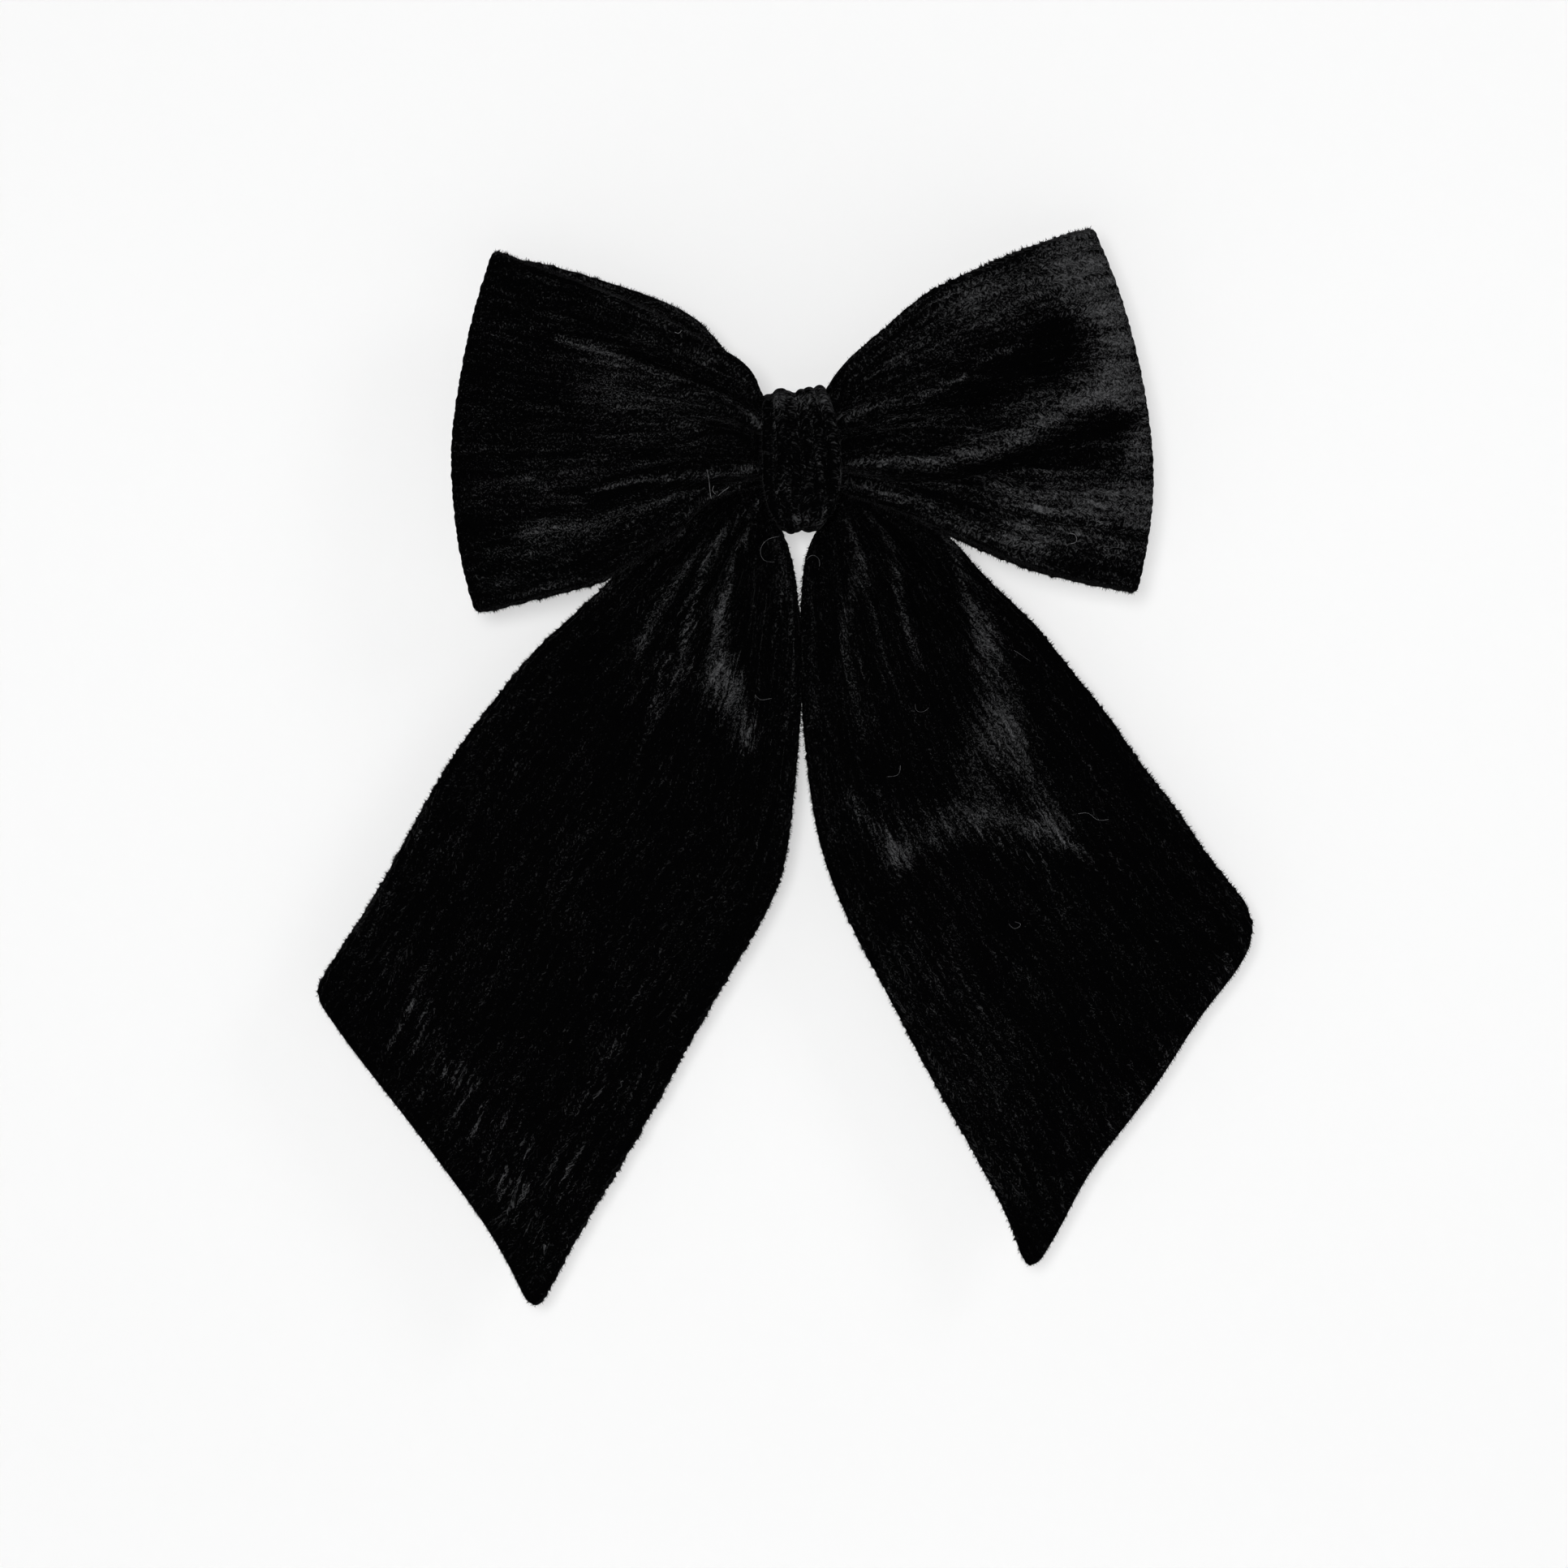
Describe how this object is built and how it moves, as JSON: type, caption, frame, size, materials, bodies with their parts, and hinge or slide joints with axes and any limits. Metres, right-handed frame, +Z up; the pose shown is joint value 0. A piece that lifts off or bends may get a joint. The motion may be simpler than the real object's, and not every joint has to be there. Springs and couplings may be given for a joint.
{
  "type": "hair bow",
  "caption": "Long-tailed black velvet hair bow on a French barrette: gathered loops and slant-cut tails under a pleated knot band, with a clasp arm that swings open to grip a ponytail.",
  "frame": {"origin": "centre of the hair channel, midway between the tension bar and the closed clasp arm, at the middle of the barrette's length and width", "axes": "+Z up the bow from tails to loops as it is worn, -Y out of the front towards the viewer, +X to the viewer's right, along the barrette towards its catch"},
  "size_m": [0.2051, 0.0377, 0.2334],
  "materials": {
    "velvet": "black velvet with a short sheared pile",
    "thread": "black polyester sewing thread",
    "clip_steel": "nickel-plated spring steel"
  },
  "bodies": {
    "bow": {"base_plate": "clip_steel", "tension_bar": "clip_steel", "hinge_pin": "clip_steel", "catch_foot": "clip_steel", "catch_rivet": "clip_steel", "loop_band": "velvet", "tail_fold": "velvet", "knot_band": "velvet", "loop_gather_thread": "thread", "tail_gather_thread": "thread", "knot_stitches": "thread", "loop_join_stitches": "thread"},
    "clasp": {"clasp_arm": "clip_steel"},
    "catch_upper": {"catch_wing_upper": "clip_steel"},
    "catch_lower": {"catch_wing_lower": "clip_steel"},
    "left_tail": {"tail_left": "velvet"},
    "right_tail": {"tail_right": "velvet"}
  },
  "joints": [
    {"name": "clasp_hinge", "type": "hinge", "parent": "bow", "child": "clasp", "pos_m": [-0.03165, 0.00701, 0], "axis": [0, 0, 1], "range_deg": [0, 75]},
    {"name": "catch_upper_flex", "type": "hinge", "parent": "bow", "child": "catch_upper", "pos_m": [0.0327, 0.00042, 0.0017], "axis": [-0.9539, -0.3, 0], "range_deg": [0, 5], "stiffness_Nm_per_rad": 0.05},
    {"name": "catch_lower_flex", "type": "hinge", "parent": "bow", "child": "catch_lower", "pos_m": [0.0327, 0.00042, -0.0017], "axis": [0.9539, 0.3, 0], "range_deg": [0, 5], "stiffness_Nm_per_rad": 0.05},
    {"name": "tail_left_swing", "type": "hinge", "parent": "bow", "child": "left_tail", "pos_m": [-0.024, -0.0082, -0.03], "axis": [-1, 0, 0], "range_deg": [-15, 70]},
    {"name": "tail_right_swing", "type": "hinge", "parent": "bow", "child": "right_tail", "pos_m": [0.023, -0.0082, -0.03], "axis": [-1, 0, 0], "range_deg": [-15, 70]}
  ],
  "couplings": [
    {"joint": "catch_lower_flex", "follows": "catch_upper_flex", "ratio": 1}
  ]
}
